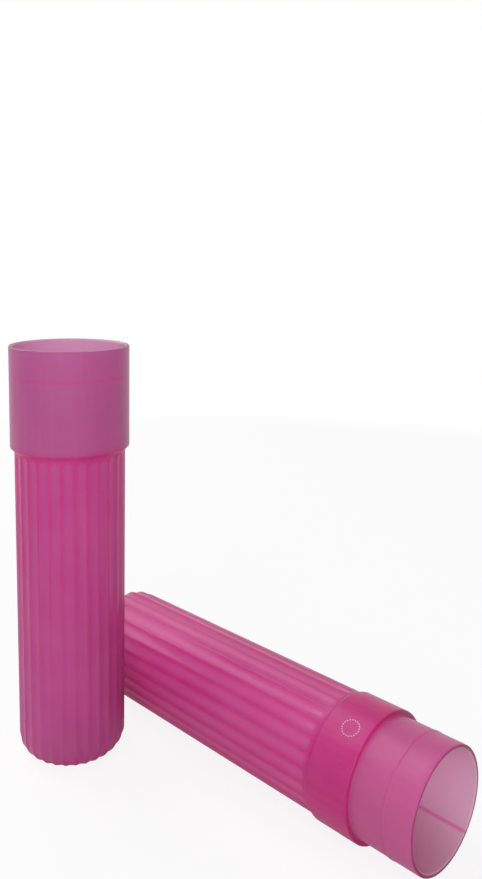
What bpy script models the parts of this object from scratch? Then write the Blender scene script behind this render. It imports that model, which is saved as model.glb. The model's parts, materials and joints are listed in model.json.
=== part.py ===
"""Travel toothbrush tube, taken apart: one half stands on its base, the other lies beside it.

The standing half has the socket, a smooth collar that the lying half's spigot pushes into.
Lengths are in metres and angles in radians. The origin is the centre of the standing half's
base, +Z is up, and +X runs along the lying half, towards its mouth.
"""

import math

import bmesh
import bpy
from mathutils import Vector

# The push fit, whose radii both halves share
SPIGOT_RADIUS = 0.0138
SPIGOT_LENGTH = 0.0151
SPIGOT_WALL = 0.0010
FIT_CLEARANCE = 0.00015
COLLAR_WALL = 0.00105

# The beads that snap past each other: one in the socket, one round the spigot
SOCKET_BEAD_DEPTH = 0.00725
BEAD_WIDTH = 0.0009
BEAD_HEIGHT = 0.00012

# The standing half
SOCKET_HALF_HEIGHT = 0.1076
SOCKET_COLLAR_LENGTH = 0.0254
SOCKET_HALF_STEP = 0.00105
SOCKET_HALF_TAPER = 0.0002
SOCKET_HALF_WALL = 0.00115
SOCKET_HALF_FLUTES = 28
SOCKET_HALF_TURN = math.radians(7.7)
SOCKET_SHOULDER_LIFT = 0.0002

# The lying half, as if it stood on its closed end
SPIGOT_HALF_BODY_LENGTH = 0.0856
SPIGOT_COLLAR_LENGTH = 0.0106
SPIGOT_HALF_STEP = 0.00065
SPIGOT_HALF_TAPER = 0.00005
SPIGOT_HALF_FLUTES = 25

# Where the lying half's closed end is, and the space between the two collars from above
LYING_X = -0.0188
LYING_SPACE = 0.0006

# What both mouldings have alike
CORNER_RADIUS = 0.0057
FLOOR_THICKNESS = 0.0014
COLLAR_CHAMFER = 0.0010
RIM_EDGE = 0.00025
LEAD_IN = 0.0003
FLUTE_DEPTH = 0.00035
FLUTE_SHARE = 0.9
FLUTE_LAND = 0.0003
FLUTE_RUN_OUT = 0.0014

# How finely the round shapes are cut
FACETS_PER_FLUTE = 6
BORE_FACETS = 56
CORNER_RINGS = 4
RUN_OUT_RINGS = (1.0, 0.85, 0.55, 0.0)
CUT_OVERRUN = 0.001
WELD = 0.00001

# Sizes that follow from those above
SOCKET_RADIUS = SPIGOT_RADIUS + FIT_CLEARANCE
COLLAR_RADIUS = SOCKET_RADIUS + COLLAR_WALL
SOCKET_BODY_RADIUS = COLLAR_RADIUS - SOCKET_HALF_STEP
SOCKET_BASE_RADIUS = SOCKET_BODY_RADIUS - SOCKET_HALF_TAPER
SOCKET_BORE_RADIUS = SOCKET_BASE_RADIUS - SOCKET_HALF_WALL
SPIGOT_BODY_RADIUS = COLLAR_RADIUS - SPIGOT_HALF_STEP
SPIGOT_BASE_RADIUS = SPIGOT_BODY_RADIUS - SPIGOT_HALF_TAPER
SPIGOT_BORE_RADIUS = SPIGOT_RADIUS - SPIGOT_WALL
SPIGOT_SHOULDER = SPIGOT_HALF_BODY_LENGTH + SPIGOT_COLLAR_LENGTH
SPIGOT_HALF_LENGTH = SPIGOT_SHOULDER + SPIGOT_LENGTH
SPIGOT_BEAD_DEPTH = SOCKET_BEAD_DEPTH + BEAD_WIDTH
INNER_CORNER_RADIUS = CORNER_RADIUS - FLOOR_THICKNESS
LYING_Y = 2.0 * COLLAR_RADIUS + LYING_SPACE

# Finish, as the photograph shows it: linear colour, roughness and metallic value
SOCKET_HALF_COLOUR = (0.47, 0.07, 0.24, 1.0)
SPIGOT_HALF_COLOUR = (0.52, 0.06, 0.22, 1.0)
FROSTED_ROUGHNESS = 0.38
PLASTIC_METALLIC = 0.0


def clear_scene():
    """Remove every object, so that the model starts from nothing."""
    for obj in list(bpy.data.objects):
        bpy.data.objects.remove(obj, do_unlink=True)


def make_collection(name):
    """Return a new collection linked to the scene."""
    collection = bpy.data.collections.new(name)
    bpy.context.scene.collection.children.link(collection)
    return collection


def make_material(name, colour):
    """Return a Principled material of frosted plastic."""
    material = bpy.data.materials.new(name)
    material.use_nodes = True
    shader = material.node_tree.nodes["Principled BSDF"]
    shader.inputs["Base Color"].default_value = colour
    shader.inputs["Roughness"].default_value = FROSTED_ROUGHNESS
    shader.inputs["Metallic"].default_value = PLASTIC_METALLIC
    material.diffuse_color = colour
    return material


def turned(name, profile, steps, collection):
    """Turn a profile of (radius, height) points round Z, listed down its outer side."""
    mesh = bpy.data.meshes.new(name)
    points = [(radius, 0.0, height) for radius, height in profile]
    links = [(index, index + 1) for index in range(len(points) - 1)]
    mesh.from_pydata(points, links, [])
    obj = bpy.data.objects.new(name, mesh)
    collection.objects.link(obj)
    screw = obj.modifiers.new("turn", "SCREW")
    screw.axis = "Z"
    screw.angle = math.tau
    screw.steps = steps
    screw.render_steps = steps
    screw.use_merge_vertices = True
    screw.merge_threshold = WELD
    return obj


def bead(radius, height, middle):
    """Return the points of a moulded bead, from its top edge to its bottom edge."""
    crown = 0.3 * BEAD_WIDTH
    return [
        (radius, middle + BEAD_WIDTH / 2),
        (radius + height, middle + crown / 2),
        (radius + height, middle - crown / 2),
        (radius, middle - BEAD_WIDTH / 2),
    ]


def closed_end(wall_radius, corner_radius, floor):
    """Return the points of a rounded corner and a flat floor, which end on the axis."""
    points = []
    for ring in range(CORNER_RINGS + 1):
        angle = math.pi / 2 * ring / CORNER_RINGS
        radius = wall_radius - corner_radius + corner_radius * math.cos(angle)
        height = floor + corner_radius - corner_radius * math.sin(angle)
        points.append((radius, height))
    points.append((0.0, floor))
    return points


def fluted_stretch(top_radius, base_radius, top):
    """Return the rings of a fluted tube below its collar, down to its rounded corner."""
    points = [(top_radius, top)]
    full_depth = top - FLUTE_LAND - FLUTE_RUN_OUT
    for ring in RUN_OUT_RINGS:
        height = full_depth + ring * FLUTE_RUN_OUT
        share = (top - height) / (top - CORNER_RADIUS)
        points.append((top_radius + (base_radius - top_radius) * share, height))
    return points + closed_end(base_radius, CORNER_RADIUS, 0.0)


def socket_half_skin():
    """Return the outer profile of the standing half, from its mouth to its base."""
    collar_foot = SOCKET_HALF_HEIGHT - SOCKET_COLLAR_LENGTH
    return [
        (0.0, SOCKET_HALF_HEIGHT),
        (COLLAR_RADIUS - RIM_EDGE, SOCKET_HALF_HEIGHT),
        (COLLAR_RADIUS, SOCKET_HALF_HEIGHT - RIM_EDGE),
        (COLLAR_RADIUS, collar_foot),
    ] + fluted_stretch(SOCKET_BODY_RADIUS, SOCKET_BASE_RADIUS, collar_foot - COLLAR_CHAMFER)


def socket_half_cavity():
    """Return the profile of the standing half's socket and bore."""
    shoulder = SOCKET_HALF_HEIGHT - SOCKET_COLLAR_LENGTH + SOCKET_SHOULDER_LIFT
    shoulder_foot = shoulder - (SOCKET_RADIUS - SOCKET_BORE_RADIUS)
    mouth = [
        (0.0, SOCKET_HALF_HEIGHT + CUT_OVERRUN),
        (SOCKET_RADIUS + LEAD_IN, SOCKET_HALF_HEIGHT + CUT_OVERRUN),
        (SOCKET_RADIUS + LEAD_IN, SOCKET_HALF_HEIGHT),
        (SOCKET_RADIUS, SOCKET_HALF_HEIGHT - LEAD_IN),
    ]
    ring = bead(SOCKET_RADIUS, -BEAD_HEIGHT, SOCKET_HALF_HEIGHT - SOCKET_BEAD_DEPTH)
    step = [(SOCKET_RADIUS, shoulder), (SOCKET_BORE_RADIUS, shoulder_foot)]
    return mouth + ring + step + closed_end(SOCKET_BORE_RADIUS, INNER_CORNER_RADIUS, FLOOR_THICKNESS)


def spigot_half_skin():
    """Return the outer profile of the lying half, from its mouth to its closed end."""
    mouth = [
        (0.0, SPIGOT_HALF_LENGTH),
        (SPIGOT_RADIUS - RIM_EDGE, SPIGOT_HALF_LENGTH),
        (SPIGOT_RADIUS, SPIGOT_HALF_LENGTH - RIM_EDGE),
    ]
    ring = bead(SPIGOT_RADIUS, BEAD_HEIGHT, SPIGOT_SHOULDER + SPIGOT_BEAD_DEPTH)
    collar = [
        (SPIGOT_RADIUS, SPIGOT_SHOULDER),
        (COLLAR_RADIUS - RIM_EDGE, SPIGOT_SHOULDER),
        (COLLAR_RADIUS, SPIGOT_SHOULDER - RIM_EDGE),
        (COLLAR_RADIUS, SPIGOT_HALF_BODY_LENGTH),
    ]
    body_top = SPIGOT_HALF_BODY_LENGTH - COLLAR_CHAMFER
    return mouth + ring + collar + fluted_stretch(SPIGOT_BODY_RADIUS, SPIGOT_BASE_RADIUS, body_top)


def spigot_half_cavity():
    """Return the profile of the lying half's bore."""
    mouth = [
        (0.0, SPIGOT_HALF_LENGTH + CUT_OVERRUN),
        (SPIGOT_BORE_RADIUS + LEAD_IN, SPIGOT_HALF_LENGTH + CUT_OVERRUN),
        (SPIGOT_BORE_RADIUS + LEAD_IN, SPIGOT_HALF_LENGTH),
        (SPIGOT_BORE_RADIUS, SPIGOT_HALF_LENGTH - LEAD_IN),
    ]
    return mouth + closed_end(SPIGOT_BORE_RADIUS, INNER_CORNER_RADIUS, FLOOR_THICKNESS)


def flute_cut(angle, height, count, top):
    """Return how deep a flute is at a point of the skin, and how far round the corner that is.

    Each flute is a shallow trough between two ridges. It ends in a round arch below the
    collar, and it dies away round the corner of the closed end.
    """
    place = (angle * count / math.tau) % 1.0
    across = (2.0 * place - 1.0) / FLUTE_SHARE
    along = max(0.0, 1.0 - (top - FLUTE_LAND - height) / FLUTE_RUN_OUT)
    drop = min(1.0, max(0.0, (CORNER_RADIUS - height) / CORNER_RADIUS))
    corner = math.asin(drop)
    fade = 1.0 - (corner / (math.pi / 2)) ** 2
    return FLUTE_DEPTH * fade * max(0.0, 1.0 - across ** 2 - along ** 2), corner


def cut_flutes(obj, count, top):
    """Sink the flutes into the skin of a turned half, below the height top."""
    depsgraph = bpy.context.evaluated_depsgraph_get()
    mesh = bpy.data.meshes.new_from_object(obj.evaluated_get(depsgraph))
    for vertex in mesh.vertices:
        radius = math.hypot(vertex.co.x, vertex.co.y)
        if vertex.co.z > top - FLUTE_LAND or radius < WELD:
            continue
        angle = math.atan2(vertex.co.y, vertex.co.x)
        depth, corner = flute_cut(angle, vertex.co.z, count, top)
        outward = Vector((vertex.co.x, vertex.co.y, 0.0)) / radius
        vertex.co -= depth * (math.cos(corner) * outward - math.sin(corner) * Vector((0, 0, 1)))
    obj.modifiers.clear()
    obj.data = mesh


def weld_and_shade(obj):
    """Merge the points on the axis and shade the round faces smooth."""
    mesh = obj.data
    faces = bmesh.new()
    faces.from_mesh(mesh)
    bmesh.ops.remove_doubles(faces, verts=faces.verts, dist=WELD)
    faces.to_mesh(mesh)
    faces.free()
    mesh.shade_smooth()
    mesh.set_sharp_from_angle(angle=math.radians(30))


def make_half(name, skin, cavity, flutes, flute_top, colour, parts, cutters):
    """Build one moulding: a turned skin, its flutes, and the cavity cut out of it."""
    half = turned(name, skin, flutes * FACETS_PER_FLUTE, parts)
    cut_flutes(half, flutes, flute_top)
    weld_and_shade(half)
    half.data.materials.append(make_material(name + "_plastic", colour))
    cutter = turned(name + "_cavity", cavity, BORE_FACETS, cutters)
    cutter.hide_render = True
    cutter.display_type = "WIRE"
    cutter.parent = half
    hollow = half.modifiers.new("hollow", "BOOLEAN")
    hollow.operation = "DIFFERENCE"
    hollow.solver = "EXACT"
    hollow.object = cutter
    return half


def lay_down(half):
    """Lay the spigot half along +X, on a ridge near its closed end and on its collar's back edge."""
    fall = COLLAR_RADIUS - SPIGOT_BASE_RADIUS
    tilt = math.atan2(fall, SPIGOT_HALF_BODY_LENGTH - CORNER_RADIUS)
    axis_height = SPIGOT_BASE_RADIUS * math.cos(tilt) - CORNER_RADIUS * math.sin(tilt)
    half.rotation_euler = (0.0, math.pi / 2 - tilt, 0.0)
    half.location = (LYING_X, LYING_Y, axis_height)


def main():
    """Build the standing half and the lying half."""
    clear_scene()
    parts = make_collection("toothbrush_holder")
    cutters = make_collection("cutters")

    socket_flute_top = SOCKET_HALF_HEIGHT - SOCKET_COLLAR_LENGTH - COLLAR_CHAMFER
    socket_half = make_half(
        "socket_half", socket_half_skin(), socket_half_cavity(), SOCKET_HALF_FLUTES,
        socket_flute_top, SOCKET_HALF_COLOUR, parts, cutters)
    socket_half.rotation_euler.z = SOCKET_HALF_TURN

    spigot_flute_top = SPIGOT_HALF_BODY_LENGTH - COLLAR_CHAMFER
    spigot_half = make_half(
        "spigot_half", spigot_half_skin(), spigot_half_cavity(), SPIGOT_HALF_FLUTES,
        spigot_flute_top, SPIGOT_HALF_COLOUR, parts, cutters)
    lay_down(spigot_half)


main()
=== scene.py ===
"""Travel toothbrush tube in two frosted pink halves, one standing and one lying beside it.

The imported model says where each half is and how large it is. A geometry node tree turns each
half from its profile and sinks its flutes, and the halves are dressed in frosted
polypropylene. Lengths are in metres.
"""

import json
import logging
import math
from dataclasses import dataclass, field
from enum import Enum
from typing import Any, NamedTuple

import bpy
from mathutils import Euler, Matrix, Vector


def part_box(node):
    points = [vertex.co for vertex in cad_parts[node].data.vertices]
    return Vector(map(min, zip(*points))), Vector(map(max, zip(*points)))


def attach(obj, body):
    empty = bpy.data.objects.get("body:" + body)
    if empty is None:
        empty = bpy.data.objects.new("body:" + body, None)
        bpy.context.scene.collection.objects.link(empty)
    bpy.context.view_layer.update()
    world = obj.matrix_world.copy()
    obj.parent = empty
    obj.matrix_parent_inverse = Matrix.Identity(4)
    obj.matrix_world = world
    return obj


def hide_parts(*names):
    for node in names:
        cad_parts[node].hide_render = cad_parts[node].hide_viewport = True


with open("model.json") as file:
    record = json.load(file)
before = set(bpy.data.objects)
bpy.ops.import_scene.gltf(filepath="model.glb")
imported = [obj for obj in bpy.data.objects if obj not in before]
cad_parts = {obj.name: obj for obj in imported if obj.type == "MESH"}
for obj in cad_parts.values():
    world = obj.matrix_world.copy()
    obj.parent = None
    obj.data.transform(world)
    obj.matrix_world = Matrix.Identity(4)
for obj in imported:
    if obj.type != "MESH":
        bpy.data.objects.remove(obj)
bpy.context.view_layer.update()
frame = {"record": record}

PLACE = "mould_place"
TROUGH = "thin_lit_trough"
SKIN = "skin"
WALL = "wall"
POLISH = "polish"
PAINTED_SHADOW_LINE = "painted_shadow_line"
WHITE = (1.0, 1.0, 1.0, 1.0)
MIDDLE = (0.03, 0.015)
MERGE_REACH = 1e-6
VALLEY_EDGE = 0.8
ARC_PITCH = 0.0006
FEWEST_ARC_STEPS = 4
Colour = tuple[float, float, float, float]
log = logging.getLogger("toothbrush_tube")


class Body(Enum):
    """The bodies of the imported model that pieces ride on."""

    STANDING = "standing_half"
    LYING = "lying_half"


class Mount(Enum):
    """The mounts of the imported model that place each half's closed end."""

    STANDING = "standing_base"
    LYING = "lying_half_base"


class Corner(NamedTuple):
    """A corner of a turned profile, and how finely the stretch after it is cut."""

    radius: float
    height: float
    fillet: float = 0.0
    pitch: float = 0.002


class Graph:
    """A node tree under construction, with short ways to add, feed and link its nodes."""

    def __init__(self, tree: bpy.types.NodeTree) -> None:
        """Keep the tree that the nodes go into."""
        self.tree = tree

    def socket(self, name: str, kind: str, way: str = "INPUT", value: Any = None) -> None:
        """Add a named socket to the tree's interface.

        Args:
            name: The socket's name.
            kind: The socket's type, such as NodeSocketFloat.
            way: INPUT or OUTPUT.
            value: The socket's default value, if it has one.
        """
        made = self.tree.interface.new_socket(name, in_out=way, socket_type=kind)
        if value is not None:
            made.default_value = value

    def feed(self, socket: bpy.types.NodeSocket, value: Any) -> None:
        """Link a socket to another one, or set its value.

        Args:
            socket: The input socket to feed.
            value: The output socket to link it to, or the value to set.
        """
        if isinstance(value, bpy.types.NodeSocket):
            self.tree.links.new(value, socket)
        else:
            socket.default_value = value

    def add(self, kind: str, inputs: dict[Any, Any] | None = None, **settings: Any) -> bpy.types.Node:
        """Add a node.

        Args:
            kind: The node's type.
            inputs: What feeds its input sockets, by the socket's name or number.
            settings: The node's own properties.

        Returns:
            The new node.
        """
        node = self.tree.nodes.new(kind)
        for name, value in settings.items():
            setattr(node, name, value)
        for name, value in (inputs or {}).items():
            self.feed(node.inputs[name], value)
        return node

    def calc(self, operation: str, *values: Any, clamp: bool = False) -> bpy.types.NodeSocket:
        """Add a Math node.

        Args:
            operation: The node's operation, such as MULTIPLY.
            values: What feeds its inputs, in order.
            clamp: Whether the result is held between 0 and 1.

        Returns:
            The result's socket.
        """
        node = self.add("ShaderNodeMath", operation=operation, use_clamp=clamp)
        for socket, value in zip(node.inputs, values):
            self.feed(socket, value)
        return node.outputs[0]

    def blend(self, share: Any, first: Any, second: Any) -> bpy.types.NodeSocket:
        """Add a colour Mix node.

        Args:
            share: How much of the second colour there is.
            first: The colour at share 0.
            second: The colour at share 1.

        Returns:
            The mixed colour's socket.
        """
        node = self.add("ShaderNodeMix", data_type="RGBA")
        for number, value in ((0, share), (6, first), (7, second)):
            self.feed(node.inputs[number], value)
        return node.outputs[2]

    def span(self, value: Any, low: float, high: float, to_low: Any, to_high: Any) -> bpy.types.NodeSocket:
        """Add a smooth Map Range node.

        Args:
            value: What is mapped.
            low: The value that gives to_low.
            high: The value that gives to_high.
            to_low: The result at and below low.
            to_high: The result at and above high.

        Returns:
            The result's socket.
        """
        node = self.add("ShaderNodeMapRange", interpolation_type="SMOOTHSTEP")
        for number, item in enumerate((value, low, high, to_low, to_high)):
            self.feed(node.inputs[number], item)
        return node.outputs[0]


@dataclass(frozen=True)
class FlutePattern:
    """Flutes sunk into a half's skin: how many, how deep, and how they end.

    A flute takes a share of its pitch, which is cut into columns. It starts a land below the
    collar's chamfer and is arched over its run-out, whose rows are cut finely over fine_reach
    run-outs. Its last stretch, as long as gloss, is polished.
    """

    count: int
    depth: float = 0.00035
    share: float = 0.9
    land: float = 0.0003
    run_out: float = 0.0014
    fine_reach: float = 1.6
    gloss: float = 0.0045
    columns: int = 12


def build_moulding_tree() -> bpy.types.NodeTree:
    """Build the geometry tree that turns a profile round Z and sinks flutes into its skin.

    Returns:
        The tree. Its input geometry is a profile of points in the XZ plane, from the centre of
        the base up the skin and down the bore, with the attribute skin at 1 on the skin.
    """
    tree = bpy.data.node_groups.new("fluted_moulding", "GeometryNodeTree")
    graph = Graph(tree)
    graph.socket("Profile", "NodeSocketGeometry")
    for name in ("Rows", "Columns", "Flute Count"):
        graph.socket(name, "NodeSocketInt", value=1)
    for name in ("Flute Depth", "Flute Share", "Flute Top", "Run Out", "Corner Radius", "Gloss Foot",
                 "Shadow Line Bearing", "Shadow Line Width"):
        graph.socket(name, "NodeSocketFloat", value=1.0)
    graph.socket("Finish", "NodeSocketMaterial")
    graph.socket("Moulding", "NodeSocketGeometry", way="OUTPUT")
    given = graph.add("NodeGroupInput").outputs

    columns = graph.calc("ADD", given["Columns"], 1.0)
    grid = graph.add("GeometryNodeMeshGrid", {2: columns, 3: given["Rows"]})
    spot = graph.add("ShaderNodeSeparateXYZ", {0: graph.add("GeometryNodeInputPosition").outputs[0]})
    angle = graph.calc("MULTIPLY", graph.calc("ADD", spot.outputs[0], 0.5), math.tau)
    last_row = graph.calc("SUBTRACT", given["Rows"], 1.0)
    row = graph.calc("ROUND", graph.calc("MULTIPLY", graph.calc("ADD", spot.outputs[1], 0.5), last_row))

    def on_profile(kind: str, value: bpy.types.NodeSocket) -> bpy.types.NodeSocket:
        """Return the profile's value at a grid point's row."""
        sample = graph.add("GeometryNodeSampleIndex", data_type=kind, domain="POINT")
        for name, item in (("Geometry", given["Profile"]), ("Value", value), ("Index", row)):
            graph.feed(sample.inputs[name], item)
        return sample.outputs[0]

    drawn = on_profile("FLOAT_VECTOR", graph.add("GeometryNodeInputPosition").outputs[0])
    radius, _, height = graph.add("ShaderNodeSeparateXYZ", {0: drawn}).outputs

    def drawn_value(name: str) -> bpy.types.NodeSocket:
        """Return one of the profile's own attributes at a grid point's row."""
        stored = graph.add("GeometryNodeInputNamedAttribute", {"Name": name}, data_type="FLOAT")
        return on_profile("FLOAT", stored.outputs[0])

    skin, wall = drawn_value(SKIN), drawn_value(WALL)

    turns = graph.calc("DIVIDE", graph.calc("MULTIPLY", angle, given["Flute Count"]), math.tau)
    place = graph.calc("FRACT", turns)
    across = graph.calc("DIVIDE", graph.calc("MULTIPLY_ADD", place, 2.0, -1.0), given["Flute Share"])
    below = graph.calc("DIVIDE", graph.calc("SUBTRACT", given["Flute Top"], height), given["Run Out"])
    along = graph.calc("MAXIMUM", 0.0, graph.calc("SUBTRACT", 1.0, below))
    under = graph.calc("SUBTRACT", given["Corner Radius"], height)
    corner = graph.calc("ARCSINE", graph.calc("DIVIDE", under, given["Corner Radius"], clamp=True))
    fade = graph.calc("SUBTRACT", 1.0, graph.calc("POWER", graph.calc("DIVIDE", corner, math.pi / 2), 2.0))
    bowl = graph.calc("SUBTRACT", 1.0, graph.calc("MULTIPLY", across, across))
    bowl = graph.calc("SUBTRACT", bowl, graph.calc("MULTIPLY", along, along))
    fluted = graph.calc("MULTIPLY", graph.calc("MULTIPLY", fade, skin),
                        graph.calc("LESS_THAN", height, given["Flute Top"]))
    bowl = graph.calc("MULTIPLY", graph.calc("MAXIMUM", 0.0, bowl), fluted)
    rise = 1 / (1 - VALLEY_EDGE)
    valley = graph.calc("MULTIPLY_ADD", bowl, rise, 1 - rise, clamp=True)
    glossy = graph.calc("MULTIPLY", graph.calc("GREATER_THAN", height, given["Gloss Foot"]), valley)
    sunk = graph.calc("MULTIPLY", bowl, given["Flute Depth"])
    out = graph.calc("SUBTRACT", radius, graph.calc("MULTIPLY", sunk, graph.calc("COSINE", corner)))
    up = graph.calc("ADD", height, graph.calc("MULTIPLY", sunk, graph.calc("SINE", corner)))
    turned = graph.add("ShaderNodeCombineXYZ", {
        0: graph.calc("MULTIPLY", out, graph.calc("COSINE", angle)),
        1: graph.calc("MULTIPLY", out, graph.calc("SINE", angle)),
        2: up,
    })

    # Painted shadow line: a darker pink stripe painted along the bore at one bearing. It stands for the
    # edge of the floor's shadow seen through the wall.
    aside = graph.calc("ABSOLUTE", graph.calc("SUBTRACT", angle, given["Shadow Line Bearing"]))
    off_shadow_line = graph.calc("DIVIDE", graph.calc("MULTIPLY", aside, radius), given["Shadow Line Width"])
    painted_shadow_line = graph.calc("SUBTRACT", graph.calc("SUBTRACT", 1.0, skin), off_shadow_line, clamp=True)

    geometry = grid.outputs[0]
    for name, kind, value in ((PAINTED_SHADOW_LINE, "FLOAT", painted_shadow_line),
                              (TROUGH, "FLOAT", bowl), (SKIN, "FLOAT", skin),
                              (POLISH, "FLOAT", graph.calc("MULTIPLY", fluted, glossy)),
                              (WALL, "FLOAT", graph.calc("SUBTRACT", wall, sunk)),
                              (PLACE, "FLOAT_VECTOR", turned.outputs[0])):
        store = graph.add("GeometryNodeStoreNamedAttribute", {"Geometry": geometry, "Name": name},
                          data_type=kind, domain="POINT")
        graph.feed(store.inputs["Value"], value)
        geometry = store.outputs[0]
    spots = graph.add("GeometryNodeInputNamedAttribute", {"Name": PLACE}, data_type="FLOAT_VECTOR")
    moved = graph.add("GeometryNodeSetPosition", {"Geometry": geometry, "Position": spots.outputs[0]})
    welded = graph.add("GeometryNodeMergeByDistance",
                       {"Geometry": moved.outputs[0], "Distance": MERGE_REACH})
    smooth = graph.add("GeometryNodeSetShadeSmooth", {"Geometry": welded.outputs[0]})
    real = graph.add("GeometryNodeRealizeInstances", {"Geometry": smooth.outputs[0]})
    dressed = graph.add("GeometryNodeSetMaterial",
                        {"Geometry": real.outputs[0], "Material": given["Finish"]})
    graph.add("NodeGroupOutput", {0: dressed.outputs[0]})
    return tree


def build_mark_tree() -> bpy.types.NodeTree:
    """Build the geometry tree that sets a ring of raised dots on a round collar.

    Returns:
        The tree. Its dots lie round Z, and it needs no input geometry.
    """
    tree = bpy.data.node_groups.new("dotted_mark", "GeometryNodeTree")
    graph = Graph(tree)
    graph.socket("Dots", "NodeSocketInt", value=20)
    for name in ("Ring Radius", "Dot Radius", "Proud", "Surface Radius", "Height", "Bearing", "Wall"):
        graph.socket(name, "NodeSocketFloat", value=1.0)
    graph.socket("Finish", "NodeSocketMaterial")
    graph.socket("Mark", "NodeSocketGeometry", way="OUTPUT")
    given = graph.add("NodeGroupInput").outputs

    ring = graph.add("GeometryNodeMeshCircle", {"Vertices": given["Dots"], "Radius": given["Ring Radius"]})
    spot = graph.add("ShaderNodeSeparateXYZ", {0: graph.add("GeometryNodeInputPosition").outputs[0]})
    bend = graph.calc("DIVIDE", spot.outputs[0], given["Surface Radius"])
    angle = graph.calc("ADD", given["Bearing"], bend)
    facing = graph.add("ShaderNodeCombineXYZ", {
        0: graph.calc("COSINE", angle), 1: graph.calc("SINE", angle)}).outputs[0]
    out = graph.add("ShaderNodeVectorMath", {0: facing, "Scale": given["Surface Radius"]},
                    operation="SCALE")
    level = graph.add("ShaderNodeCombineXYZ", {2: graph.calc("ADD", given["Height"], spot.outputs[1])})
    seat = graph.add("ShaderNodeVectorMath", {0: out.outputs[0], 1: level.outputs[0]}, operation="ADD")
    marked = graph.add("GeometryNodeStoreNamedAttribute",
                       {"Geometry": ring.outputs[0], "Name": "facing", "Value": facing},
                       data_type="FLOAT_VECTOR", domain="POINT")
    seated = graph.add("GeometryNodeSetPosition",
                       {"Geometry": marked.outputs[0], "Position": seat.outputs[0]})

    dot = graph.add("GeometryNodeMeshIcoSphere", {"Radius": given["Dot Radius"], "Subdivisions": 2})
    geometry = dot.outputs[0]
    for name, value in ((TROUGH, 0.0), (SKIN, 1.0), (POLISH, 1.0), (PAINTED_SHADOW_LINE, 0.0), (WALL, given["Wall"])):
        store = graph.add("GeometryNodeStoreNamedAttribute",
                          {"Geometry": geometry, "Name": name, "Value": value},
                          data_type="FLOAT", domain="POINT")
        geometry = store.outputs[0]
    stored = graph.add("GeometryNodeInputNamedAttribute", {"Name": "facing"}, data_type="FLOAT_VECTOR")
    turn = graph.add("FunctionNodeAlignRotationToVector", {"Vector": stored.outputs[0]}, axis="Z")
    flat = graph.add("ShaderNodeCombineXYZ", {
        0: 1.0, 1: 1.0, 2: graph.calc("DIVIDE", given["Proud"], given["Dot Radius"])})
    dots = graph.add("GeometryNodeInstanceOnPoints", {
        "Points": seated.outputs[0], "Instance": geometry,
        "Rotation": turn.outputs[0], "Scale": flat.outputs[0]})
    smooth = graph.add("GeometryNodeSetShadeSmooth", {"Geometry": dots.outputs[0]})
    real = graph.add("GeometryNodeRealizeInstances", {"Geometry": smooth.outputs[0]})
    here = graph.add("GeometryNodeInputPosition").outputs[0]
    placed = graph.add("GeometryNodeStoreNamedAttribute",
                       {"Geometry": real.outputs[0], "Name": PLACE, "Value": here},
                       data_type="FLOAT_VECTOR", domain="POINT")
    dressed = graph.add("GeometryNodeSetMaterial",
                        {"Geometry": placed.outputs[0], "Material": given["Finish"]})
    graph.add("NodeGroupOutput", {0: dressed.outputs[0]})
    return tree


def set_inputs(modifier: bpy.types.Modifier, values: dict[str, Any]) -> None:
    """Set a geometry modifier's inputs by their sockets' identifiers.

    Args:
        modifier: The Geometry Nodes modifier, whose tree is already chosen.
        values: The value of each named input.
    """
    for item in modifier.node_group.interface.items_tree:
        if item.item_type == "SOCKET" and item.in_out == "INPUT" and item.name in values:
            modifier[item.identifier] = values[item.name]


def mould(name: str, draft_mesh: bpy.types.Mesh, tree: bpy.types.NodeTree, values: dict[str, Any],
          place: Matrix) -> bpy.types.Object:
    """Run a geometry tree on a mesh and keep its result as a finished piece.

    Args:
        name: The piece's name.
        draft_mesh: The mesh that goes into the tree.
        tree: The geometry tree.
        values: The value of each of the tree's named inputs.
        place: The matrix that takes the result from its own frame to its place.

    Returns:
        The piece, at the origin with its place in its mesh.
    """
    draft = bpy.data.objects.new(name + "_draft", draft_mesh)
    bpy.context.scene.collection.objects.link(draft)
    modifier = draft.modifiers.new("mould", "NODES")
    modifier.node_group = tree
    set_inputs(modifier, values)
    evaluated = draft.evaluated_get(bpy.context.evaluated_depsgraph_get())
    mesh = bpy.data.meshes.new_from_object(evaluated)
    bpy.data.objects.remove(draft)
    if mesh.materials[0] is None:
        mesh.materials.pop(index=0)
    mesh.name = name
    mesh.transform(place)
    piece = bpy.data.objects.new(name, mesh)
    bpy.context.scene.collection.objects.link(piece)
    return piece


def keep_inside(piece: bpy.types.Object, node: str) -> None:
    """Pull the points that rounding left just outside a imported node's box back onto it.

    Args:
        piece: The finished piece.
        node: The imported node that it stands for.
    """
    low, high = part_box(node)
    for vertex in piece.data.vertices:
        vertex.co = [min(max(value, least), most) for value, least, most in zip(vertex.co, low, high)]


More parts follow.
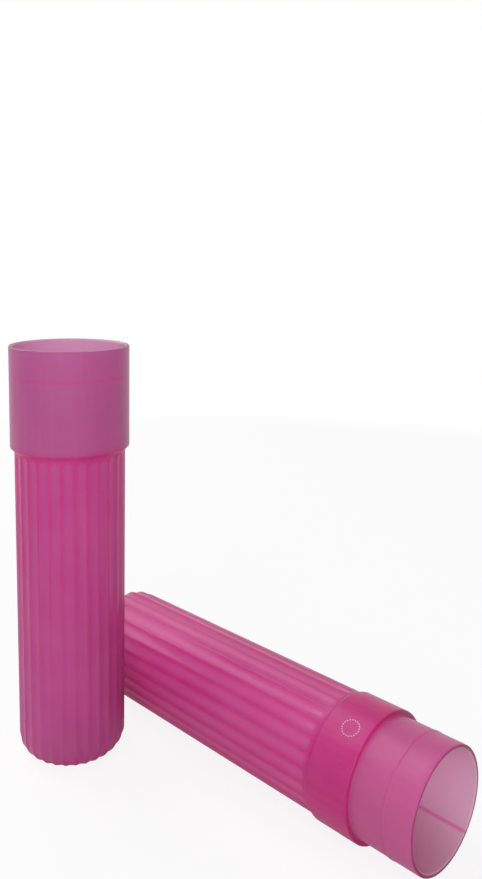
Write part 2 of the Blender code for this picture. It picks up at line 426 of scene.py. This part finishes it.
def trace(corners: list[Corner]) -> list[tuple[float, float, int]]:
    """Round a profile's corners and cut its stretches.

    Args:
        corners: The profile's corners in order, each with its fillet and pitch.

    Returns:
        The points of the profile, as radius, height and the number of the corner they lead to.
    """
    points: list[tuple[float, float, int]] = []
    last = Vector((0.0, 0.0))
    spots = [Vector((corner.radius, corner.height)) for corner in corners]
    for number, corner in enumerate(corners):
        spot = spots[number]
        if corner.fillet <= 0.0:
            arc = [spot]
        else:
            back = (spots[number - 1] - spot).normalized()
            ahead = (spots[number + 1] - spot).normalized()
            half_angle = back.angle(ahead) / 2.0
            reach = corner.fillet / math.tan(half_angle)
            middle = spot + (back + ahead).normalized() * (corner.fillet / math.sin(half_angle))
            start = spot + back * reach - middle
            sweep = start.angle_signed(spot + ahead * reach - middle)
            steps = max(FEWEST_ARC_STEPS, math.ceil(abs(sweep) * corner.fillet / ARC_PITCH))
            arc = [middle + Matrix.Rotation(-sweep * step / steps, 2) @ start
                   for step in range(steps + 1)]
        if points:
            run = arc[0] - last
            pieces = max(1, math.ceil(run.length / corners[number - 1].pitch))
            arc = [last + run * (piece / pieces) for piece in range(1, pieces)] + arc
        points += [(point.x, point.y, number) for point in arc]
        last = arc[-1]
    return points


def radius_at(points: list[tuple[float, float]], height: float) -> float:
    """Find the radius of a traced profile at a height.

    Args:
        points: The traced points, as radius and height.
        height: The height to look at.

    Returns:
        The radius there, or that of the profile's nearest end beyond it.
    """
    ordered = sorted((level, radius) for radius, level in points)
    for (low, first), (high, second) in zip(ordered, ordered[1:]):
        if low <= height <= high:
            share = (height - low) / (high - low) if high > low else 0.0
            return first + (second - first) * share
    return ordered[0][1] if height < ordered[0][0] else ordered[-1][1]


def wall_thickness(skin: list[tuple[float, float]], bore: list[tuple[float, float]]) -> list[float]:
    """Return the wall's thickness at each point of a profile.

    Args:
        skin: The traced points of the skin, as radius and height.
        bore: The traced points of the bore, as radius and height.

    Returns:
        The wall at each skin point and then at each bore point. Up to twice the floor's height
        the floor's own thickness stands in for it.
    """
    floor = min(level for _, level in bore)
    on_skin = [radius - radius_at(bore, level) if level > 2 * floor else floor for radius, level in skin]
    on_bore = [radius_at(skin, level) - radius if level > 2 * floor else floor for radius, level in bore]
    return on_skin + on_bore


@dataclass(frozen=True)
class FrostedPlastic:
    """Frosted translucent polypropylene: its colours, haze, grain and gloss.

    The skin's tint goes from thin_skin to thick_skin between the two wall thicknesses, and on to
    end_on between deep_wall and whole_wall. Inside the plastic, passed and density say how light
    is coloured on its way.
    """

    name: str
    thin_skin: Colour = (0.77, 0.175, 0.465, 1.0)
    thick_skin: Colour = (0.83, 0.06, 0.405, 1.0)
    # The flute floors' lighter tint: partly the thinner wall's own colour, partly painted light that makes
    # the flutes' light bands.
    thin_lit_trough: Colour = (0.92, 0.165, 0.54, 1.0)
    # The bore's near-white colour is painted light: the glow of the backdrop through the far wall, painted
    # onto the pink plastic.
    bore: Colour = (0.83, 0.84, 0.84, 1.0)
    # Colour of the painted shadow line along the bore.
    shadow_line_colour: Colour = (0.80, 0.22, 0.50, 1.0)
    end_on: Colour = (0.45, 0.03, 0.22, 1.0)
    thin_wall: float = 0.0010
    thick_wall: float = 0.0013
    deep_wall: float = 0.0020
    whole_wall: float = 0.0030
    cloud: float = 0.05
    passed: Colour = (0.945, 0.0, 0.61, 1.0)
    density: float = 365.0
    transmission: float = 0.68
    roughness: float = 0.34
    roughness_swing: float = 0.02
    rubbed: float = 0.35
    ior: float = 1.30
    coat: float = 0.04
    coat_roughness: float = 0.05
    grain: float = 0.25
    grain_height: float = 0.00004
    scuffs: float = 0.1
    scuff_colour: Colour = (0.92, 0.72, 0.82, 1.0)
    scuff_cover: float = 0.35
    scuff_roughness: float = 0.12

    def build(self, effects: "PlasticEffects") -> bpy.types.Material:
        """Build the material.

        Args:
            effects: The node groups that frosted plastics share.

        Returns:
            The material, which reads the attributes that the geometry trees store.
        """
        material = bpy.data.materials.new(self.name)
        material.use_nodes = True
        graph = Graph(material.node_tree)
        shader = material.node_tree.nodes["Principled BSDF"]
        output = material.node_tree.nodes["Material Output"]
        place = graph.add("ShaderNodeAttribute", attribute_name=PLACE).outputs["Vector"]
        thin_lit_trough, skin, wall, painted_shadow_line, polish = (
            graph.add("ShaderNodeAttribute", attribute_name=name).outputs["Fac"]
            for name in (TROUGH, SKIN, WALL, PAINTED_SHADOW_LINE, POLISH))
        haze = graph.add("ShaderNodeGroup", node_tree=effects.haze)
        wear = graph.add("ShaderNodeGroup", node_tree=effects.wear)
        thick = graph.span(wall, self.thin_wall, self.thick_wall, 0.0, 1.0)
        whole = graph.span(wall, self.deep_wall, self.whole_wall, 0.0, 1.0)
        smooth = graph.blend(whole, graph.blend(thick, self.thin_skin, self.thick_skin), self.end_on)
        # The bore's tint: its painted light, with the painted shadow line along one bearing.
        painted_bore_light_and_shade = graph.blend(painted_shadow_line, self.bore, self.shadow_line_colour)
        # The flute floors take that tint: thinner wall and painted light together.
        tint = graph.blend(skin, painted_bore_light_and_shade, graph.blend(thin_lit_trough, smooth, self.thin_lit_trough))
        for name, value in (("Place", place), ("Tint", tint), ("Cloud", self.cloud),
                            ("Roughness", self.roughness), ("Swing", self.roughness_swing)):
            graph.feed(haze.inputs[name], value)
        worn_share = graph.calc("MULTIPLY", skin, self.scuffs)
        for name, value in (("Place", place), ("Trough", thin_lit_trough), ("Amount", worn_share)):
            graph.feed(wear.inputs[name], value)
        worn = graph.blend(graph.calc("MULTIPLY", wear.outputs["Scuff"], self.scuff_cover),
                           haze.outputs["Tint"], self.scuff_colour)
        graph.feed(shader.inputs["Base Color"], worn)
        rough = graph.calc("MULTIPLY_ADD", wear.outputs["Scuff"], self.scuff_roughness,
                           haze.outputs["Roughness"])
        graph.feed(shader.inputs["Roughness"], rough)
        graph.feed(shader.inputs["Coat Weight"], graph.calc("MULTIPLY_ADD", polish, self.rubbed, self.coat))
        bump = graph.add("ShaderNodeBump", {
            "Strength": self.grain, "Distance": self.grain_height, "Height": haze.outputs["Height"]})
        graph.feed(shader.inputs["Normal"], bump.outputs[0])
        for name, value in (("Transmission Weight", self.transmission), ("IOR", self.ior),
                            ("Coat Roughness", self.coat_roughness)):
            shader.inputs[name].default_value = value
        volume = graph.add("ShaderNodeVolumeAbsorption", {"Color": self.passed, "Density": self.density})
        graph.feed(output.inputs["Volume"], volume.outputs[0])
        return material


class PlasticEffects:
    """The node groups that every frosted plastic shares, built once.

    The flow lines and the hairline scuffs are noise that is stretched along the mould's axis.
    """

    CLOUD_SCALE = 90.0
    FLOW_SCALE = 700.0
    FLOW_STRETCH = 0.05
    FLOW_SHARE = 0.35
    FLOW_HEIGHT = 0.25
    GRAIN_SCALE = 5200.0
    GRAIN_ROUGHNESS = 0.03
    CLOUD_COLOUR = (0.95, 0.85, 0.9, 1.0)
    HAIR_SCALE = 2600.0
    HAIR_STRETCH = 0.12
    PATCH_SCALE = 140.0

    def __init__(self) -> None:
        """Build the haze group and the wear group."""
        self.haze = self._build_haze()
        self.wear = self._build_wear()

    @staticmethod
    def _stretched(graph: Graph, place: bpy.types.NodeSocket, along: float) -> bpy.types.NodeSocket:
        """Return a place scaled on Z alone, which stretches the noise that reads it."""
        node = graph.add("ShaderNodeVectorMath", {0: place, 1: (1.0, 1.0, along)}, operation="MULTIPLY")
        return node.outputs[0]

    def _build_haze(self) -> bpy.types.NodeTree:
        """Build the group for the melt's clouds, its flow lines and the frosted grain."""
        tree = bpy.data.node_groups.new("frosted_haze", "ShaderNodeTree")
        graph = Graph(tree)
        graph.socket("Place", "NodeSocketVector")
        graph.socket("Tint", "NodeSocketColor")
        graph.socket("Cloud", "NodeSocketFloat", value=0.1)
        graph.socket("Roughness", "NodeSocketFloat", value=0.35)
        graph.socket("Swing", "NodeSocketFloat", value=0.1)
        graph.socket("Tint", "NodeSocketColor", way="OUTPUT")
        graph.socket("Roughness", "NodeSocketFloat", way="OUTPUT")
        graph.socket("Height", "NodeSocketFloat", way="OUTPUT")
        given = graph.add("NodeGroupInput").outputs
        clouds = graph.add("ShaderNodeTexNoise", {
            "Vector": given["Place"], "Scale": self.CLOUD_SCALE, "Detail": 3.0})
        lines = graph.add("ShaderNodeTexNoise", {
            "Vector": self._stretched(graph, given["Place"], self.FLOW_STRETCH),
            "Scale": self.FLOW_SCALE, "Detail": 2.0})
        grain = graph.add("ShaderNodeTexNoise", {
            "Vector": given["Place"], "Scale": self.GRAIN_SCALE, "Detail": 2.0})
        cloud = graph.span(clouds.outputs[0], 0.35, 0.68, 0.0, 1.0)
        streak = graph.span(lines.outputs[0], 0.40, 0.66, 0.0, 1.0)
        share = graph.calc("MULTIPLY", cloud, 1 - self.FLOW_SHARE)
        share = graph.calc("MULTIPLY_ADD", streak, self.FLOW_SHARE, share)
        share = graph.calc("MULTIPLY", share, given["Cloud"])
        tint = graph.blend(share, given["Tint"], self.CLOUD_COLOUR)
        swing = graph.calc("MULTIPLY", graph.calc("SUBTRACT", cloud, 0.5), given["Swing"])
        rough = graph.calc("ADD", given["Roughness"], swing)
        bumpy = graph.calc("SUBTRACT", grain.outputs[0], 0.5)
        rough = graph.calc("MULTIPLY_ADD", bumpy, self.GRAIN_ROUGHNESS, rough)
        height = graph.calc("MULTIPLY_ADD", streak, self.FLOW_HEIGHT, grain.outputs[0])
        ends = graph.add("NodeGroupOutput")
        for name, value in (("Tint", tint), ("Roughness", rough), ("Height", height)):
            graph.feed(ends.inputs[name], value)
        return tree

    def _build_wear(self) -> bpy.types.NodeTree:
        """Build the group for the fine scuffs on ridges and collars."""
        tree = bpy.data.node_groups.new("handling_wear", "ShaderNodeTree")
        graph = Graph(tree)
        graph.socket("Place", "NodeSocketVector")
        graph.socket("Trough", "NodeSocketFloat", value=0.0)
        graph.socket("Amount", "NodeSocketFloat", value=0.3)
        graph.socket("Scuff", "NodeSocketFloat", way="OUTPUT")
        given = graph.add("NodeGroupInput").outputs
        hair = graph.add("ShaderNodeTexNoise", {
            "Vector": self._stretched(graph, given["Place"], self.HAIR_STRETCH),
            "Scale": self.HAIR_SCALE, "Detail": 3.0, "Distortion": 0.4})
        patch = graph.add("ShaderNodeTexNoise", {
            "Vector": given["Place"], "Scale": self.PATCH_SCALE, "Detail": 2.0})
        scratch = graph.span(hair.outputs[0], 0.60, 0.72, 0.0, 1.0)
        region = graph.span(patch.outputs[0], 0.45, 0.62, 0.0, 1.0)
        crest = graph.span(given["Trough"], 0.0, 0.35, 1.0, 0.15)
        scuff = graph.calc("MULTIPLY", graph.calc("MULTIPLY", scratch, region), crest)
        ends = graph.add("NodeGroupOutput")
        graph.feed(ends.inputs["Scuff"], graph.calc("MULTIPLY", scuff, given["Amount"]))
        return tree


@dataclass
class TubeHalf:
    """One moulding of the tube: a fluted skin over a smooth bore, closed at one end.

    The turn spins it round its own axis, and the bearings are angles round that axis. The lip is
    the flat of the rim, and lip_sight is the wall's thickness that its tint is chosen for.
    """

    node: str
    body: Body
    mount: Mount
    slot: str
    flutes: FlutePattern
    collar_radius: float
    turn: float = 0.0
    corner_radius: float = 0.0057
    floor_thickness: float = 0.0014
    chamfer: float = 0.0010
    rim_edge: float = 0.00025
    lead_in: float = 0.0003
    soft_edge: float = 0.00012
    bead_width: float = 0.0009
    bead_height: float = 0.00012
    bead_crown: float = 0.15
    bead_edge: float = 0.0001
    gate_radius: float = 0.0024
    gate_depth: float = 0.0002
    gate_edge: float = 0.00006
    stub_radius: float = 0.0006
    stub_foot: float = 0.0008
    lip: float = 0.00002
    lip_sight: float = 0.003
    # Where the painted shadow line runs round the bore, and how wide it is.
    shadow_line_bearing: float = math.radians(42.5)
    shadow_line_width: float = 0.0006

    def skin(self) -> list[Corner]:
        """Return the skin's corners, from the centre of the base up to the rim."""
        raise NotImplementedError

    def bore(self) -> list[Corner]:
        """Return the bore's corners, from the mouth down to the centre of the floor."""
        raise NotImplementedError

    @property
    def flute_top(self) -> float:
        """The height of the chamfer's foot, where the fluted stretch begins."""
        raise NotImplementedError

    def gate(self) -> list[Corner]:
        """Return the corners of the shallow recess with the gate's stub, under the base."""
        stub = self.gate_depth / 2
        return [
            Corner(0.0, stub, pitch=0.0004),
            Corner(self.stub_radius, stub, self.gate_edge, pitch=0.0004),
            Corner(self.stub_foot, self.gate_depth, self.gate_edge, pitch=0.0006),
            Corner(self.gate_radius - self.gate_depth, self.gate_depth, self.gate_edge, pitch=0.0004),
            Corner(self.gate_radius, 0.0, self.gate_edge, pitch=0.0012),
        ]

    def fluted_stretch(self, base_radius: float, top_radius: float) -> list[Corner]:
        """Draw the fluted stretch.

        Args:
            base_radius: The body's radius at the closed end.
            top_radius: The body's radius at the chamfer's foot.

        Returns:
            The corners from the rounded end up to the chamfer's foot.
        """
        arches = self.flute_top - self.flutes.fine_reach * self.flutes.run_out
        share = (arches - self.corner_radius) / (self.flute_top - self.corner_radius)
        radius = base_radius + (top_radius - base_radius) * share
        return [
            Corner(base_radius, 0.0, self.corner_radius, pitch=0.0025),
            Corner(radius, arches, pitch=0.00012),
            Corner(top_radius, self.flute_top, self.soft_edge, pitch=0.0004),
        ]

    def bead(self, radius: float, height: float, middle: float) -> list[Corner]:
        """Draw a snap bead.

        Args:
            radius: The radius of the wall that it stands on.
            height: How far it stands out, or in where it is negative.
            middle: The height of its middle.

        Returns:
            Its corners, from its lower edge to its upper edge.
        """
        crown = self.bead_crown * self.bead_width
        return [
            Corner(radius, middle - self.bead_width / 2, self.bead_edge, pitch=0.0003),
            Corner(radius + height, middle - crown, self.bead_edge, pitch=0.0003),
            Corner(radius + height, middle + crown, self.bead_edge, pitch=0.0003),
            Corner(radius, middle + self.bead_width / 2, self.bead_edge, pitch=0.0015),
        ]

    def placement(self) -> Matrix:
        """Return the matrix that takes the half from standing on the origin to its place."""
        mount = next(m for m in frame["record"]["mounts"] if m["name"] == self.mount.value)
        upward = -Vector(mount["axis"]).normalized()
        lean = Vector((0.0, 0.0, 1.0)).rotation_difference(upward).to_matrix().to_4x4()
        spin = Matrix.Rotation(self.turn, 4, "Z")
        return Matrix.Translation(Vector(mount["pos_m"])) @ lean @ spin

    def adopt(self, piece: bpy.types.Object) -> None:
        """Make a piece ride with the half and stand for its node, whose own mesh is hidden."""
        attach(piece, self.body.value)
        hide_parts(self.node)

    def profile(self) -> bpy.types.Mesh:
        """Return the half's section as a line of points, with its skin and wall attributes.

        The lip is dressed like the skin, and its wall is as deep as it looks when seen end on.
        """
        outside = self.skin()
        points = trace(outside + self.bore())
        skin = [(radius, height) for radius, height, corner in points if corner < len(outside)]
        bore = [(radius, height) for radius, height, corner in points if corner >= len(outside)]
        lip_foot = max(height for _, height, _ in points) - self.lip
        lips = [height > lip_foot for _, height, _ in points]
        walls = wall_thickness(skin, bore)
        line = bpy.data.meshes.new(self.node + "_profile")
        line.from_pydata([(radius, 0.0, height) for radius, height, _ in points],
                         [(n, n + 1) for n in range(len(points) - 1)], [])
        facts = {
            SKIN: [float(number < len(skin) or lip) for number, lip in enumerate(lips)],
            WALL: [self.lip_sight if lip else wall for wall, lip in zip(walls, lips)],
        }
        for name, values in facts.items():
            line.attributes.new(name, "FLOAT", "POINT").data.foreach_set("value", values)
        return line

    def build(self, tree: bpy.types.NodeTree, material: bpy.types.Material) -> bpy.types.Object:
        """Build the half's moulding.

        Args:
            tree: The geometry tree that turns and flutes a moulding.
            material: The half's finish.

        Returns:
            The finished piece.
        """
        line = self.profile()
        piece = mould(self.node + "_moulding", line, tree, {
            "Rows": len(line.vertices),
            "Columns": self.flutes.count * self.flutes.columns,
            "Flute Count": self.flutes.count,
            "Flute Depth": self.flutes.depth,
            "Flute Share": self.flutes.share,
            "Flute Top": self.flute_top - self.flutes.land,
            "Run Out": self.flutes.run_out,
            "Corner Radius": self.corner_radius,
            "Gloss Foot": self.flute_top - self.flutes.gloss,
            "Shadow Line Bearing": self.shadow_line_bearing,
            "Shadow Line Width": self.shadow_line_width,
            "Finish": material,
        }, self.placement())
        keep_inside(piece, self.node)
        self.adopt(piece)
        return piece


@dataclass
class SocketHalf(TubeHalf):
    """The standing half, whose collar is the socket of the push fit."""

    height: float = 0.1076
    collar_length: float = 0.0254
    step: float = 0.00105
    taper: float = 0.0002
    wall: float = 0.00115
    collar_wall: float = 0.00105
    shoulder_lift: float = 0.0002
    bead_depth: float = 0.00725

    @property
    def flute_top(self) -> float:
        """The height of the chamfer's foot, where the fluted stretch begins."""
        return self.height - self.collar_length - self.chamfer

    def skin(self) -> list[Corner]:
        """Return the skin's corners, from the centre of the base up to the rim."""
        body = self.collar_radius - self.step
        bead = self.height - self.bead_depth
        return self.gate() + self.fluted_stretch(body - self.taper, body) + [
            Corner(self.collar_radius, self.height - self.collar_length, self.soft_edge, pitch=0.0015),
            Corner(self.collar_radius, bead - self.bead_width, pitch=0.0003),
            Corner(self.collar_radius, bead + self.bead_width, pitch=0.0015),
            Corner(self.collar_radius, self.height, self.rim_edge, pitch=0.0003),
            Corner(self.collar_radius - self.collar_wall / 2, self.height, pitch=0.0003),
        ]

    def bore(self) -> list[Corner]:
        """Return the bore's corners, from the mouth down to the centre of the floor."""
        socket = self.collar_radius - self.collar_wall
        bore = self.collar_radius - self.step - self.taper - self.wall
        shoulder = self.height - self.collar_length + self.shoulder_lift
        bead = self.bead(socket, -self.bead_height, self.height - self.bead_depth)
        return [
            Corner(socket + self.lead_in, self.height, self.soft_edge, pitch=0.0002),
            Corner(socket, self.height - self.lead_in, self.soft_edge, pitch=0.0015),
        ] + bead[::-1] + [
            Corner(socket, shoulder, self.soft_edge, pitch=0.0004),
            Corner(bore, shoulder - (socket - bore), self.soft_edge, pitch=0.0025),
            Corner(bore, self.floor_thickness, self.corner_radius - self.floor_thickness, pitch=0.0008),
            Corner(0.0, self.floor_thickness),
        ]


@dataclass
class SpigotHalf(TubeHalf):
    """The lying half, whose spigot pushes into the socket."""

    body_length: float = 0.0856
    collar_length: float = 0.0106
    spigot_length: float = 0.0151
    spigot_radius: float = 0.0138
    spigot_wall: float = 0.0010
    step: float = 0.00065
    taper: float = 0.00005
    bead_depth: float = 0.00815

    @property
    def flute_top(self) -> float:
        """The height of the chamfer's foot, where the fluted stretch begins."""
        return self.body_length - self.chamfer

    def skin(self) -> list[Corner]:
        """Return the skin's corners, from the centre of the closed end up to the rim."""
        body = self.collar_radius - self.step
        shoulder = self.body_length + self.collar_length
        mouth = shoulder + self.spigot_length
        return self.gate() + self.fluted_stretch(body - self.taper, body) + [
            Corner(self.collar_radius, self.body_length, self.soft_edge, pitch=0.0012),
            Corner(self.collar_radius, shoulder, self.rim_edge, pitch=0.0003),
            Corner(self.spigot_radius, shoulder, self.soft_edge, pitch=0.0012),
        ] + self.bead(self.spigot_radius, self.bead_height, shoulder + self.bead_depth) + [
            Corner(self.spigot_radius, mouth, self.rim_edge, pitch=0.0003),
            Corner(self.spigot_radius - self.spigot_wall / 2, mouth, pitch=0.0003),
        ]

    def bore(self) -> list[Corner]:
        """Return the bore's corners, from the mouth down to the centre of the floor."""
        bore = self.spigot_radius - self.spigot_wall
        mouth = self.body_length + self.collar_length + self.spigot_length
        return [
            Corner(bore + self.lead_in, mouth, self.soft_edge, pitch=0.0002),
            Corner(bore, mouth - self.lead_in, self.soft_edge, pitch=0.0025),
            Corner(bore, self.floor_thickness, self.corner_radius - self.floor_thickness, pitch=0.0008),
            Corner(0.0, self.floor_thickness),
        ]


@dataclass
class MouldMark:
    """A plain ring of small raised dots that the mould leaves on the lying half's collar."""

    half: SpigotHalf
    dots: int = 20
    ring_radius: float = 0.0020
    dot_radius: float = 0.00017
    proud: float = 0.00008
    height: float = 0.0916
    bearing: float = math.radians(209.8)

    def build(self, tree: bpy.types.NodeTree, material: bpy.types.Material) -> bpy.types.Object:
        """Build the ring of dots.

        Args:
            tree: The geometry tree that sets dots on a round collar.
            material: The half's finish.

        Returns:
            The finished piece.
        """
        nothing = bpy.data.meshes.new(self.half.node + "_mark_draft")
        piece = mould(self.half.node + "_mould_mark", nothing, tree, {
            "Dots": self.dots,
            "Ring Radius": self.ring_radius,
            "Dot Radius": self.dot_radius,
            "Proud": self.proud,
            "Surface Radius": self.half.collar_radius,
            "Height": self.height,
            "Bearing": self.bearing,
            "Wall": self.half.collar_radius - self.half.spigot_radius + self.half.spigot_wall,
            "Finish": material,
        }, self.half.placement())
        self.half.adopt(piece)
        return piece


@dataclass
class ViewPoint:
    """The photograph's camera, set round the standing half's axis."""

    stand_off: float = 0.20595
    height: float = 0.13192
    bearing: float = math.radians(55.51)
    yaw: float = math.radians(9.51)
    pitch: float = math.radians(7.64)
    roll: float = math.radians(0.78)
    lens: float = 33.4
    shift: tuple[float, float] = (0.041, -0.0924)

    def build(self) -> bpy.types.Object:
        """Build the camera and make it the scene's own.

        Returns:
            The camera object.
        """
        data = bpy.data.cameras.new("photo_view")
        data.lens = self.lens
        data.sensor_width = 36.0
        data.shift_x, data.shift_y = self.shift
        data.clip_start = 0.01
        data.clip_end = 20.0
        camera = bpy.data.objects.new("photo_view", data)
        bpy.context.scene.collection.objects.link(camera)
        around = Matrix.Rotation(self.bearing, 4, "Z")
        spot = Matrix.Translation(Vector((0.0, -self.stand_off, self.height)))
        aim = Euler((math.pi / 2 - self.pitch, 0.0, -self.yaw), "XYZ").to_matrix().to_4x4()
        camera.matrix_world = around @ spot @ aim @ Matrix.Rotation(self.roll, 4, "Z")
        bpy.context.scene.camera = camera
        return camera


@dataclass(frozen=True)
class Lamp:
    """A soft box: where it stands, how bright and how wide it is, and what it points at."""

    name: str
    place: tuple[float, float, float]
    power: float
    width: float
    target: tuple[float, float, float] = (*MIDDLE, 0.04)

    def build(self) -> bpy.types.Object:
        """Build the lamp and return it."""
        data = bpy.data.lights.new(self.name, "AREA")
        data.energy = self.power
        data.size = self.width
        lamp = bpy.data.objects.new(self.name, data)
        bpy.context.scene.collection.objects.link(lamp)
        aim = Vector(self.target) - Vector(self.place)
        turn = aim.to_track_quat("-Z", "Y").to_matrix().to_4x4()
        lamp.matrix_world = Matrix.Translation(self.place) @ turn
        return lamp


@dataclass
class Studio:
    """The pale floor, the even surround and the soft boxes.

    The camera sees the floor lifted towards white by floor_lift. Between fade_start and fade_end
    from the middle of the tube it turns into plain white.
    """

    ambient: float = 0.25
    floor_colour: Colour = (0.93, 0.93, 0.93, 1.0)
    floor_radius: float = 3.0
    floor_lift: float = 0.86
    fade_start: float = 0.16
    fade_end: float = 0.5
    drop: float = 0.0001
    lamps: list[Lamp] = field(default_factory=lambda: [
        Lamp("key_soft_box", (-0.70, -0.13, 0.90), 8.8, 1.0),
        Lamp("fill_soft_box", (0.75, -0.75, 0.50), 9.5, 1.2),
        Lamp("top_soft_box", (0.05, 0.10, 1.20), 0.3, 1.2),
    ])

    def build(self) -> None:
        """Build the world, the floor and the lamps."""
        self._build_world()
        self._build_floor()
        for lamp in self.lamps:
            lamp.build()
        bpy.context.scene.view_settings.view_transform = "Standard"

    @staticmethod
    def _seen(graph: Graph) -> tuple[bpy.types.NodeSocket, bpy.types.NodeSocket]:
        """Return 1 for the rays that show a background, and 1 for the camera's own rays alone."""
        rays = graph.add("ShaderNodeLightPath").outputs
        direct = graph.calc("MAXIMUM", rays["Is Camera Ray"], rays["Is Glossy Ray"])
        return graph.calc("MAXIMUM", direct, rays["Is Transmission Ray"]), rays["Is Camera Ray"]

    def _build_world(self) -> None:
        """Build the world: white where it is seen, and an even light everywhere else."""
        world = bpy.data.worlds.new("studio_surround")
        world.use_nodes = True
        graph = Graph(world.node_tree)
        world.node_tree.nodes.clear()
        light = graph.add("ShaderNodeBackground", {"Color": WHITE, "Strength": self.ambient})
        white = graph.add("ShaderNodeBackground", {"Color": WHITE, "Strength": 1.0})
        seen = self._seen(graph)[0]
        mixed = graph.add("ShaderNodeMixShader", {0: seen, 1: light.outputs[0], 2: white.outputs[0]})
        graph.add("ShaderNodeOutputWorld", {0: mixed.outputs[0]})
        bpy.context.scene.world = world

    def _build_floor(self) -> bpy.types.Object:
        """Build the round floor, which fades to white away from the tube, and return it."""
        mesh = bpy.data.meshes.new("studio_floor")
        sides = 96
        rim = [(self.floor_radius * math.cos(math.tau * n / sides),
                self.floor_radius * math.sin(math.tau * n / sides), -self.drop) for n in range(sides)]
        mesh.from_pydata(rim, [], [tuple(range(sides))])
        mesh.materials.append(self._floor_material())
        floor = bpy.data.objects.new("studio_floor", mesh)
        bpy.context.scene.collection.objects.link(floor)
        return floor

    def _floor_material(self) -> bpy.types.Material:
        """Build the floor's material: pale and matt, and plain white far from the tube."""
        material = bpy.data.materials.new("pale_floor")
        material.use_nodes = True
        graph = Graph(material.node_tree)
        material.node_tree.nodes.clear()
        place = graph.add("ShaderNodeTexCoord").outputs["Object"]
        away = graph.add("ShaderNodeVectorMath", {0: place, 1: (*MIDDLE, 0.0)}, operation="DISTANCE")
        far = graph.span(away.outputs[1], self.fade_start, self.fade_end, 0.0, 1.0)
        matt = graph.add("ShaderNodeBsdfDiffuse", {"Color": self.floor_colour})
        white = graph.add("ShaderNodeEmission", {"Color": WHITE, "Strength": 1.0})
        seen, camera = self._seen(graph)
        share = graph.calc("MAXIMUM", graph.calc("MULTIPLY", far, seen),
                           graph.calc("MULTIPLY", camera, self.floor_lift))
        mixed = graph.add("ShaderNodeMixShader", {0: share, 1: matt.outputs[0], 2: white.outputs[0]})
        graph.add("ShaderNodeOutputMaterial", {0: mixed.outputs[0]})
        return material


def half_size(node: str, axis: int) -> float:
    """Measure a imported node.

    Args:
        node: The node's name.
        axis: The axis to measure along, from 0 for X to 2 for Z.

    Returns:
        Half the node's size along the axis.
    """
    low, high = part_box(node)
    return (high[axis] - low[axis]) / 2


def main() -> None:
    """Build the studio, the camera and both halves, and report each piece."""
    Studio().build()
    ViewPoint().build()
    standing = SocketHalf(
        node="socket_half", body=Body.STANDING, mount=Mount.STANDING, slot="socket_half_plastic",
        flutes=FlutePattern(count=28), collar_radius=half_size("socket_half", 0),
        height=2 * half_size("socket_half", 2), turn=math.radians(7.7))
    lying = SpigotHalf(
        node="spigot_half", body=Body.LYING, mount=Mount.LYING, slot="spigot_half_plastic",
        flutes=FlutePattern(count=25), collar_radius=half_size("spigot_half", 1))
    tree = build_moulding_tree()
    effects = PlasticEffects()
    finishes = {
        # The standing half's colours are a darker copy of the same plastic's colours: painted shade.
        standing.slot: FrostedPlastic(
            "frosted_standing_half_painted_shade", thin_skin=(0.58, 0.165, 0.435, 1.0),
            thick_skin=(0.81, 0.055, 0.38, 1.0), thin_lit_trough=(0.74, 0.105, 0.445, 1.0),
            bore=(0.79, 0.66, 0.72, 1.0)).build(effects),
        lying.slot: FrostedPlastic("frosted_lying_half").build(effects),
    }
    pieces = [half.build(tree, finishes[half.slot]) for half in (standing, lying)]
    # The dots are painted near white with little transmission: a painted highlight for the sparkle of light
    # on the mark.
    pale = FrostedPlastic("mark_painted_sparkle", thick_skin=(0.96, 0.88, 0.92, 1.0),
                          transmission=0.3, roughness=0.3)
    pieces.append(MouldMark(lying).build(build_mark_tree(), pale.build(effects)))
    for piece in pieces:
        log.info("%s: %d faces, finished in %s", piece.name, len(piece.data.polygons),
                 piece.data.materials[0].name)


if __name__ == "__main__":
    logging.basicConfig(level=logging.INFO, format="%(name)s: %(message)s")
    main()
